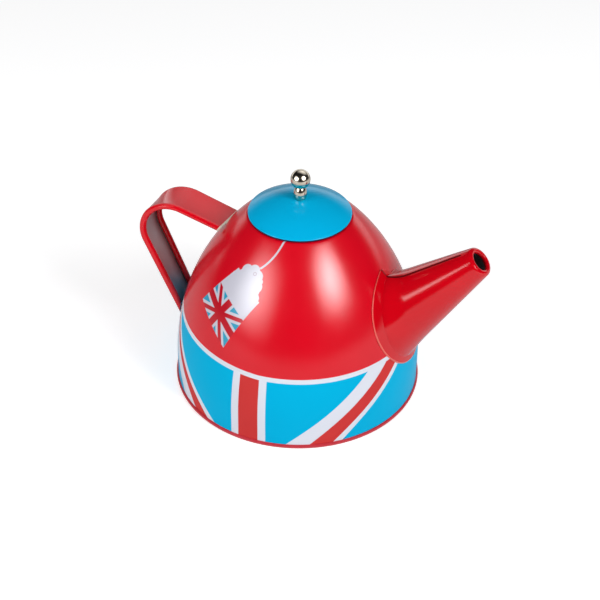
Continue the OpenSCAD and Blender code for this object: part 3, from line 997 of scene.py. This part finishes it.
    def painted(self, centre: Vector, normal: Vector) -> int:
        """Picks the finish of a face.

        Args:
            centre: The face's centre.
            normal: Its normal.

        Returns:
            0 outside and on the curled tip, 1 on the bare inside, 2 on the lip's edge, painted as a
            highlight, and 3 on the lap's cut edge, painted as its shadow.
        """
        p = np.array(centre)
        a, out, back = self.polar(p)
        # A dark line of painted shadow lies on the lap's cut edge.
        on_cut = self.cut_edge_deg[0] < a + self.seam_deg < self.cut_edge_deg[1] and out > -2 * self.tin_t
        if on_cut and self.cut_from * self.length < back < self.cut_to * self.length:
            return 3
        if back > 2 * self.curl_r and out < -self.tin_t / 2:
            return 1
        # The lip's rounded edge takes a painted highlight.
        return 2 * int(self.lip_from < self.shell.outside(p) < self.lip_t)


@dataclass
class Handle:
    """The tinplate strap with rolled edges, bent into a loop and held by two tabs.

    Its path is worked out as distance from the pot's axis and height. A face counts as inner where its
    normal points against the strap's outward direction by more than the inner share.
    """

    shell: Shell
    width: float = 15.0
    bead_d: float = 2.5
    top_z: float = 64.8
    rise_deg: float = 18.0
    arm_l: float = 16.8
    arm_gap: float = 1.5
    cut_deg: float = 31.0
    skew_deg: float = 8.0
    bend_r: float = 13.68
    bend_skew_deg: float = 5.5
    low_z: float = 19.5
    tab_w: float = 6.0
    tab_flap: float = 4.0
    web_set: float = 0.15
    end_gap: float = 0.25
    flap_gap: float = 0.35
    bare_end: float = 0.7
    end_slack: float = 0.08
    inner_share: float = -0.3
    curl_end_deg: float = -190.0
    tab_out: float = 0.6
    curl_steps: int = 18
    bend_steps: int = 56

    def __post_init__(self) -> None:
        """Works out the strap's path in the plane of the pot's axis."""
        shell, rise = self.shell, math.radians(self.rise_deg)
        self.arm_dir = np.array([math.cos(rise), math.sin(rise)])
        self.arm_out = np.array([-math.sin(rise), math.cos(rise)])
        self.arm_top = np.array([shell.rho(self.top_z), self.top_z])
        self.bend_start = self.arm_top + self.arm_l * self.arm_dir
        self.bend_mid = self.bend_start - self.bend_r * self.arm_out
        self.arm_low = np.array([shell.rho(self.low_z), self.low_z])
        run = self.bend_mid - self.arm_low
        length = float(np.linalg.norm(run))
        low = math.atan2(run[1], run[0]) - math.asin(self.bend_r / length)
        self.low_deg = math.degrees(low)
        self.low_dir = np.array([math.cos(low), math.sin(low)])
        self.low_out = np.array([math.sin(low), -math.cos(low)])
        self.bend_end = self.arm_low + math.sqrt(length**2 - self.bend_r**2) * self.low_dir
        self.bend_deg = 180 - (self.low_deg - self.rise_deg)
        self.top_normal, self.low_normal = shell.normal_deg(self.top_z), shell.normal_deg(self.low_z)
        self.tin_t = shell.tin_t
        self.tab_mid = self.web_set + self.tin_t / 2
        self.tab_in = self.tin_t + self.flap_gap + self.tin_t / 2
        cut, skew = math.radians(self.cut_deg), math.radians(self.skew_deg)
        gap = self.arm_gap / math.cos(math.radians(self.top_normal - self.rise_deg))
        end = self.arm_top + gap * self.arm_dir
        self.end_corner = np.array([end[0], -self.width / 2, end[1]])
        self.end_face = np.array([math.cos(cut), math.tan(skew), math.sin(cut)])

    def outline(self) -> list[Flat]:
        """Draws the sheet's section with both edges rolled under.

        Returns:
            Points as the place across the strap and the height over the rolled edges' crowns.
        """
        r, t = self.bead_d / 2, self.tin_t
        middle = (self.width / 2 - r, -r)
        start = 180 - math.degrees(math.asin(1 - self.web_set / r))
        back = 180 - math.degrees(math.asin((r - self.web_set - t) / (r - t)))
        half = arc(middle, r, start, self.curl_end_deg, self.curl_steps)
        half += arc(middle, r - t, self.curl_end_deg, back, self.curl_steps)
        return half + [(-y, d) for y, d in reversed(half)]

    def rings(self) -> list[list[Point]]:
        """Lays the section's rings along the strap.

        Returns:
            Rings of points, from the upper arm's end to the lower arm's end.
        """
        section = self.outline()
        low_n = math.radians(self.low_normal)
        low_face = np.array([math.cos(low_n), 0.0, math.sin(low_n)])
        low_place = np.array([self.arm_low[0], 0.0, self.arm_low[1]]) + self.end_gap * low_face
        step = self.bare_end * np.array([self.arm_dir[0], 0.0, self.arm_dir[1]])
        # Two rings close together at the upper end bound its bare edge.
        top = (self.bend_start, self.arm_dir, self.arm_out)
        rings = [[self.straight(*top, q, at, self.end_face) for q in section]
                 for at in (self.end_corner - step, self.end_corner)]
        for k in range(self.bend_steps + 1):
            a = math.radians(90 + self.rise_deg - self.bend_deg * k / self.bend_steps)
            out = np.array([math.cos(a), math.sin(a)])
            rings.append([self.bent(out, q) for q in section])
        low = (self.bend_end, self.low_dir, self.low_out)
        rings.append([self.straight(*low, q, low_place, low_face) for q in section])
        return [[(-x, y, z) for x, y, z in ring] for ring in rings]

    def straight(self, start: np.ndarray, run: np.ndarray, out: np.ndarray, q: Flat, at: np.ndarray,
                 face: np.ndarray) -> Point:
        """Carries a point of the section along an arm to a cutting plane.

        Args:
            start: Where the arm begins.
            run: Its direction.
            out: The strap's outward direction there.
            q: The section's point.
            at: A point of the cutting plane.
            face: The plane's normal.

        Returns:
            The point, with its distance from the axis as x.
        """
        p = np.array([start[0] + q[1] * out[0], q[0], start[1] + q[1] * out[1]])
        step = np.array([run[0], 0.0, run[1]])
        return tuple(p + (at - p) @ face / (step @ face) * step)

    def bent(self, out: np.ndarray, q: Flat) -> Point:
        """Places a point of the section on the bend, which stands a little askew.

        Args:
            out: The strap's outward direction there.
            q: The section's point.

        Returns:
            The point, with its distance from the axis as x.
        """
        skew = q[0] * math.tan(math.radians(self.bend_skew_deg))
        x, z = self.bend_mid + (self.bend_r + q[1]) * out
        return (x - skew, q[0], z)

    def tabs(self) -> list[bpy.types.Object]:
        """Makes the two tabs, each a strip through the dome with its end bent over inside.

        Returns:
            The tabs.
        """
        made = []
        ends = (
            (self.arm_top, self.arm_dir, self.arm_out, self.top_normal, self.rise_deg, self.arm_gap),
            (self.arm_low, self.low_dir, self.low_out, self.low_normal, self.low_deg, self.end_gap),
        )
        for number, (place, run, out, normal_deg, deg, gap) in enumerate(ends):
            at = place - self.tab_mid * out
            normal = math.radians(normal_deg)
            elbow = at - self.tab_in / math.cos(normal - math.radians(deg)) * run
            flap = elbow + self.tab_flap * np.array([math.sin(normal), -math.cos(normal)])
            mitre = (run + (elbow - flap) / self.tab_flap) / 2
            mitre = np.array([-mitre[1], mitre[0]])
            flat = np.array([math.cos(normal), math.sin(normal)])
            rings = []
            for centre, thick in ((at + (gap + self.tab_out) * run, out), (elbow, mitre), (flap, flat)):
                thick = thick if thick @ out > 0 or number else -thick
                thick = thick / np.linalg.norm(thick) * self.tin_t / 2
                corners = [(centre + side * thick, across * self.tab_w / 2)
                           for side, across in ((1, 1), (1, -1), (-1, -1), (-1, 1))]
                rings.append([(-x, y, z) for (x, z), y in corners])
            made.append(loft(f"tab_{number}", rings, capped=True))
        return made

    def slot_cutters(self) -> list[bpy.types.Object]:
        """Makes the boxes that cut the slots for the tabs.

        Returns:
            The cutters.
        """
        cutters = []
        reach = 2 * (2 * self.tab_in + self.arm_gap)
        play = 2 * self.shell.slot_gap
        size = (reach, self.tab_w + play, self.tin_t + play)
        top, low = (self.arm_top, self.arm_out, self.rise_deg), (self.arm_low, self.low_out, self.low_deg)
        for place, out, deg in (top, low):
            at = place - self.tab_mid * out
            deselect()
            bpy.ops.mesh.primitive_cube_add(
                size=1, scale=Vector(size) * MM, rotation=(0, math.radians(deg), 0),
                location=Vector((-at[0], 0, at[1])) * MM)
            cutters.append(bpy.context.object)
        return cutters

    def build(self) -> bpy.types.Object:
        """Lofts the strap and adds its tabs.

        Returns:
            The strap.
        """
        strap = loft("handle_loop", self.rings(), capped=True)
        join(strap, *self.tabs())
        return strap

    def painted(self, centre: Vector, normal: Vector) -> int:
        """Gives 1 on the web's bare inner face, 2 on the upper arm's cut end and 0 elsewhere.

        Args:
            centre: A face's centre.
            normal: Its normal.

        Returns:
            The material slot.
        """
        p = np.array([-centre.x, centre.z])
        past = (np.array([p[0], centre.y, p[1]]) - self.end_corner) @ self.end_face
        if past < -self.end_slack and centre.z > self.top_z - self.width / 2:
            return 2
        if abs(centre.y) > self.width / 2 - self.bead_d + self.tin_t / 4:
            return 0
        return int(np.array([-normal.x, normal.z]) @ self.outward(p) < self.inner_share)

    def outward(self, p: np.ndarray) -> np.ndarray:
        """Finds the strap's outward direction near a point of its plane.

        Args:
            p: The point, as distance from the axis and height.

        Returns:
            The direction.
        """
        away = p - self.bend_mid
        turn = math.degrees(math.atan2(away[1], away[0]))
        if turn > 90 + self.rise_deg or away @ self.arm_dir < 0 and away[1] > 0:
            return self.arm_out
        if away @ self.low_dir < 0:
            return self.low_out
        return away / np.linalg.norm(away)


@dataclass
class Lid:
    """The pressed cap with its hemmed edge, and the knob on it.

    The cap runs into the hem's circle at the join's angle, and the hem rolls on to its end's angle. Faces
    of the hem whose normals rise less than its shade are painted dark, as the shade under its edge.
    """

    shell: Shell
    cap_d: float = 38.6
    hem_d: float = 1.1
    crown_h: float = 6.0
    gap: float = 0.18
    ball_d: float = 7.4
    neck_d: float = 5.0
    ball_h: float = 8.2
    screw_d: float = 2.6
    screw_gap: float = 0.05
    bore_h: float = 6.8
    neck_mid_share: float = 0.26
    neck_swell_share: float = 1.1
    join_deg: float = 60.0
    tuck_deg: float = 30.0
    hem_end_deg: float = -200.0
    hem_shade: float = 0.26
    cap_steps: int = 40
    hem_steps: int = 26
    neck_steps: int = 16
    ball_steps: int = 48
    knob_sides: int = 128

    def __post_init__(self) -> None:
        """Works out where the lid rests."""
        shell = self.shell
        self.hem_r = self.hem_d / 2
        self.hem_x = self.cap_d / 2 - self.hem_r
        self.hem_z = shell.edge_z + math.sqrt(
            (self.hem_r + shell.edge_r + self.gap) ** 2 - (self.hem_x - shell.edge_x) ** 2)
        self.crown_z = self.hem_z + self.crown_h
        join = math.radians(self.join_deg)
        self.join_x = self.hem_x + self.hem_r * math.cos(join)
        drop = self.crown_h - self.hem_r * math.sin(join)
        self.cap_r = (self.join_x**2 + drop**2) / (2 * drop)
        self.cap_z = self.crown_z - self.cap_r
        self.ball_z = self.crown_z + self.ball_h

    def build_cap(self) -> bpy.types.Object:
        """Spins the cap with its rolled hem.

        Returns:
            The cap.
        """
        hole = self.screw_d / 2 + 2 * self.screw_gap
        centre, t = (0.0, self.cap_z), self.shell.tin_t
        inner_r = self.cap_r - t
        inner_x = self.hem_x - self.hem_r * math.cos(math.radians(self.tuck_deg))
        hole_deg, edge_deg, inner_hole_deg, inner_edge_deg = (
            math.degrees(math.acos(x / radius)) for x, radius in (
                (hole, self.cap_r), (self.join_x, self.cap_r), (hole, inner_r), (inner_x, inner_r)))
        outside = arc(centre, self.cap_r, hole_deg, edge_deg, self.cap_steps)
        hem = arc((self.hem_x, self.hem_z), self.hem_r, self.join_deg, self.hem_end_deg, self.hem_steps)[1:]
        inside = arc(centre, inner_r, inner_edge_deg, inner_hole_deg, self.cap_steps)
        return turned("lid_enamel_cap", outside + hem + inside, closed=True)

    def painted(self, centre: Vector, normal: Vector) -> int:
        """Gives 0 on the cap's face, 1 on its bare inside and 2 on the hem's underside, painted dark as
        shade.

        Args:
            centre: A face's centre.
            normal: Its normal.

        Returns:
            The material slot.
        """
        if math.hypot(centre.x, centre.y) < self.hem_x - self.hem_r:
            return int(normal.z < 0)
        # The hem's downward faces take painted shade: a dark line under the lid's edge.
        return 2 * int(normal.z < self.hem_shade)

    def build_knob(self) -> bpy.types.Object:
        """Spins the knob's ball and neck.

        Returns:
            The knob.
        """
        bore = self.screw_d / 2 + self.screw_gap
        ball_r, mid_h = self.ball_d / 2, self.neck_mid_share * self.ball_h
        swell_r = self.neck_swell_share * self.neck_d
        middle = (self.neck_d / 2 - swell_r, self.crown_z + mid_h)
        # The neck's swell and the ball meet where their two circles cross.
        across, upward = -middle[0], self.ball_z - middle[1]
        apart = math.hypot(across, upward)
        lean = math.degrees(math.atan2(upward, across))
        low, high = (
            math.degrees(math.acos((one**2 + apart**2 - other**2) / (2 * one * apart)))
            for one, other in ((ball_r, swell_r), (swell_r, ball_r)))
        bore_z, foot_deg = self.crown_z + self.bore_h, -math.degrees(math.asin(mid_h / swell_r))
        profile = [(0.0, bore_z), (bore, bore_z), (bore, self.crown_z)]
        profile += arc(middle, swell_r, foot_deg, lean - high, self.neck_steps)
        profile += arc((0.0, self.ball_z), ball_r, lean - 180 + low, 90, self.ball_steps)[1:]
        profile[-1] = (0.0, self.ball_z + ball_r)
        return turned("knob_ball", profile, closed=False, steps=self.knob_sides)


@dataclass
class Pot:
    """The whole teapot, built and dressed in order."""

    shell: Shell = field(default_factory=Shell)

    def build(self) -> None:
        """Builds each piece, dresses it and hands it to the frame."""
        spout, handle, lid = Spout(self.shell), Handle(self.shell), Lid(self.shell)
        body = self.shell.build(spout, handle)
        dress(body, [PRINT, TIN, FOOT], self.shell.printed)
        hand_over(body, Body.POT, "body_shell")
        cone = spout.build()
        # The lip's edge takes a painted highlight, and the lap's cut edge painted shadow.
        dress(cone, [GLOSS, TIN, LIP_HIGHLIGHT, LAP_PAINTED_SHADOW], spout.painted)
        hand_over(cone, Body.POT, "spout", smooth_deg=30)
        strap = handle.build()
        dress(strap, [RED, TIN, END], handle.painted)
        hand_over(strap, Body.POT, "handle_strap")
        cap = lid.build_cap()
        # The hem's underside takes painted shade.
        dress(cap, [CYAN, TIN, HEM_PAINTED_SHADE], lid.painted)
        hand_over(cap, Body.LID, "lid_cap")
        knob = lid.build_knob()
        dress(knob, [NICKEL])
        hand_over(knob, Body.LID, "knob")
        for node, finish in (("base_plate", RIM), ("lid_collar", TIN), ("knob_screw", ZINC)):
            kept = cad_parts[node]
            kept.data.materials.clear()
            kept.data.materials.append(finish.material())
            LOG.info("%s: CAD node, dressed in %s", node, finish.name)


class Sheen(Enum):
    """Groups of pieces on which a light shows as a highlight."""

    SATIN = ("body_print", "lid_enamel_cap", "knob_ball")
    GLOSS = ("spout_cone", "handle_loop")
    STRAP = ("handle_loop",)
    BALL = ("knob_ball",)


@dataclass(frozen=True)
class Softbox:
    """A soft light that faces the pot.

    With a sheen, only its highlight shows, and only on those pieces. It then glows between two shares of
    its width and height, with soft edges. Without a sheen it only lights surfaces.
    """

    name: str
    azimuth_deg: float
    elevation_deg: float
    width_m: float
    height_m: float
    watts: float
    sheen: Sheen | None = None
    away_m: float = 0.75
    aim_m: float = 0.04
    glow_from: float = 0.25
    glow_to: float = 0.75
    glow_soft: float = 0.2


@dataclass
class Studio:
    """Camera, floor, surround and lights.

    The surround's bright sweep lies behind the pot and narrows upwards, so that in reflections only what
    faces it squarely shows its upper part.
    """

    boxes: tuple[Softbox, ...] = (
        Softbox("softbox_spout_side", -22, 34, 0.3, 0.42, 3.8),
        Softbox("softbox_handle_side", -126, 26, 0.3, 0.42, 2.9),
        Softbox("sheen_spout_side", -26, 36, 0.62, 0.58, 27.0, Sheen.SATIN),
        Softbox("sheen_handle_side", -124, 26, 0.82, 0.68, 19.0, Sheen.SATIN),
        Softbox("streak_spout_side", -26, 34, 0.3, 0.5, 3.0, Sheen.GLOSS),
        Softbox("streak_handle_side", -127, 17, 0.24, 0.6, 3.2, Sheen.GLOSS),
        Softbox("sheen_behind_ball", 86, 50, 1.4, 1.1, 7.0, Sheen.BALL),
        Softbox("sheen_behind_strap", 110, 60, 2.6, 2.0, 24.0, Sheen.STRAP),
    )
    distance: float = 576.0
    azimuth_deg: float = 18.2
    elevation_deg: float = 37.22
    roll_deg: float = 0.976
    shift_x: float = 1.025
    shift_y: float = 26.64
    focal_px: float = 1441.2
    frame_px: float = 600.0
    sensor_mm: float = 36.0
    floor_m: float = 6.0
    floor_colour: str = "#ededed"
    floor_lift: float = 0.48
    white: Colour = (1.0, 1.0, 1.0, 1.0)
    fill: Colour = (0.28, 0.28, 0.285, 1.0)
    sweep: Colour = (1.6, 1.6, 1.6, 1.0)
    overhead: Colour = (0.012, 0.012, 0.012, 1.0)
    sweep_way: Point = (-0.312, 0.95, 0.0)
    sweep_narrows: float = -1.1
    sweep_from: float = 0.45
    sweep_soft: float = 0.08
    sweep_top: float = 0.22
    sweep_top_soft: float = 0.13

    def camera(self) -> None:
        """Sets up the camera at the photograph's place."""
        elevation, turn, roll = (
            math.radians(d) for d in (self.elevation_deg, self.azimuth_deg, self.roll_deg))
        spin = Matrix.Rotation(turn, 3, "Z")
        forward = spin @ Vector((0, math.cos(elevation), -math.sin(elevation)))
        right = spin @ Vector((1, 0, 0))
        up = right.cross(forward)
        across = math.cos(roll) * right + math.sin(roll) * up
        upward = math.cos(roll) * up - math.sin(roll) * right
        place = (-self.distance * forward + self.shift_x * across + self.shift_y * upward) * MM
        bpy.ops.object.camera_add()
        camera = bpy.context.object
        camera.data.sensor_width = self.sensor_mm
        camera.data.lens = self.focal_px / self.frame_px * self.sensor_mm
        axes = Matrix((across, upward, -forward)).transposed()
        camera.matrix_world = Matrix.Translation(place) @ axes.to_4x4()
        bpy.context.scene.camera = camera

    def softbox(self, box: Softbox) -> None:
        """Adds a soft light.

        Args:
            box: Its place, size and power, and what it shines on.
        """
        a, e = math.radians(box.azimuth_deg), math.radians(box.elevation_deg)
        towards = Vector((math.cos(a) * math.cos(e), math.sin(a) * math.cos(e), math.sin(e)))
        bpy.ops.object.light_add(type="AREA", location=towards * box.away_m + Vector((0, 0, box.aim_m)))
        light = bpy.context.object
        light.name = box.name
        light.rotation_euler = towards.to_track_quat("Z", "Y").to_euler()
        light.data.shape = "RECTANGLE"
        light.data.size, light.data.size_y, light.data.energy = box.width_m, box.height_m, box.watts
        light.visible_glossy, light.visible_diffuse = box.sheen is not None, box.sheen is None
        if box.sheen is not None:
            light.light_linking.receiver_collection = self.group(box.sheen)
            light.data.use_nodes = True
            graph = Graph(light.data.node_tree)
            spot = graph.add("ShaderNodeNewGeometry", out="Parametric")
            across, upward, _ = graph.add("ShaderNodeSeparateXYZ", spot).node.outputs
            glow = (box.glow_from, box.glow_to, box.glow_soft)
            fades = [graph.band(side, *glow) for side in (across, upward)]
            strength = graph.add(MATH, *fades, operation="MULTIPLY")
            shown = graph.add("ShaderNodeEmission", {"Strength": strength})
            graph.add("ShaderNodeOutputLight", {"Surface": shown})

    def group(self, sheen: Sheen) -> bpy.types.Collection:
        """Collects the pieces that a highlight shows on, or gives their collection back.

        Args:
            sheen: Which pieces.

        Returns:
            The collection.
        """
        name = sheen.name.lower()
        made = bpy.data.collections.get(name)
        if made:
            return made
        made = bpy.data.collections.new(name)
        for piece in sheen.value:
            made.objects.link(bpy.data.objects[piece])
        return made

    def floor(self) -> None:
        """Adds the pale floor, which is white to the camera but keeps the pot's shadow."""
        deselect()
        bpy.ops.mesh.primitive_plane_add(size=self.floor_m)
        floor = bpy.context.object
        floor.name = "floor"
        material = bpy.data.materials.new("white_paper_sweep")
        material.use_nodes = True
        graph = Graph(material.node_tree)
        diffuse = graph.add("ShaderNodeBsdfDiffuse", {"Color": linear(self.floor_colour)})
        camera = graph.add("ShaderNodeLightPath", out="Is Camera Ray")
        strength = graph.add(MATH, camera, self.floor_lift, operation="MULTIPLY")
        lift = graph.add("ShaderNodeEmission", {"Strength": strength})
        graph.add("ShaderNodeOutputMaterial", {"Surface": graph.add("ShaderNodeAddShader", diffuse, lift)})
        floor.data.materials.append(material)

    def world(self) -> None:
        """Gives a pale surround that is white to the camera and dark overhead in reflections."""
        world = bpy.data.worlds.new("surround")
        bpy.context.scene.world = world
        world.use_nodes = True
        world.cycles.sampling_method = "NONE"
        graph = Graph(world.node_tree)
        way = graph.add("ShaderNodeTexCoord", out="Generated")
        back = graph.add("ShaderNodeVectorMath", way, self.sweep_way, out="Value", operation="DOT_PRODUCT")
        height = graph.add("ShaderNodeSeparateXYZ", way, out="Z")
        back = graph.add(MATH, height, self.sweep_narrows, back, operation="MULTIPLY_ADD")
        behind = graph.band(back, self.sweep_from, FAR, self.sweep_soft)
        low = graph.band(height, -FAR, self.sweep_top, self.sweep_top_soft)
        around = graph.paint(self.overhead, self.sweep, graph.add(MATH, behind, low, operation="MULTIPLY"))
        rays = graph.add("ShaderNodeLightPath").node
        around = graph.paint(around, self.fill, rays.outputs["Is Diffuse Ray"])
        shown = graph.paint(around, self.white, rays.outputs["Is Camera Ray"])
        light = graph.add("ShaderNodeBackground", {"Color": shown, "Strength": 1.0})
        graph.add("ShaderNodeOutputWorld", {"Surface": light})

    def build(self) -> None:
        """Sets up the camera, the lights and the floor."""
        self.camera()
        for box in self.boxes:
            self.softbox(box)
        self.floor()
        self.world()
        bpy.context.scene.view_settings.view_transform = "Standard"


def main() -> None:
    """Builds the studio and the teapot."""
    logging.basicConfig(level=logging.INFO, format="%(message)s")
    Pot().build()
    Studio().build()


if __name__ == "__main__":
    main()
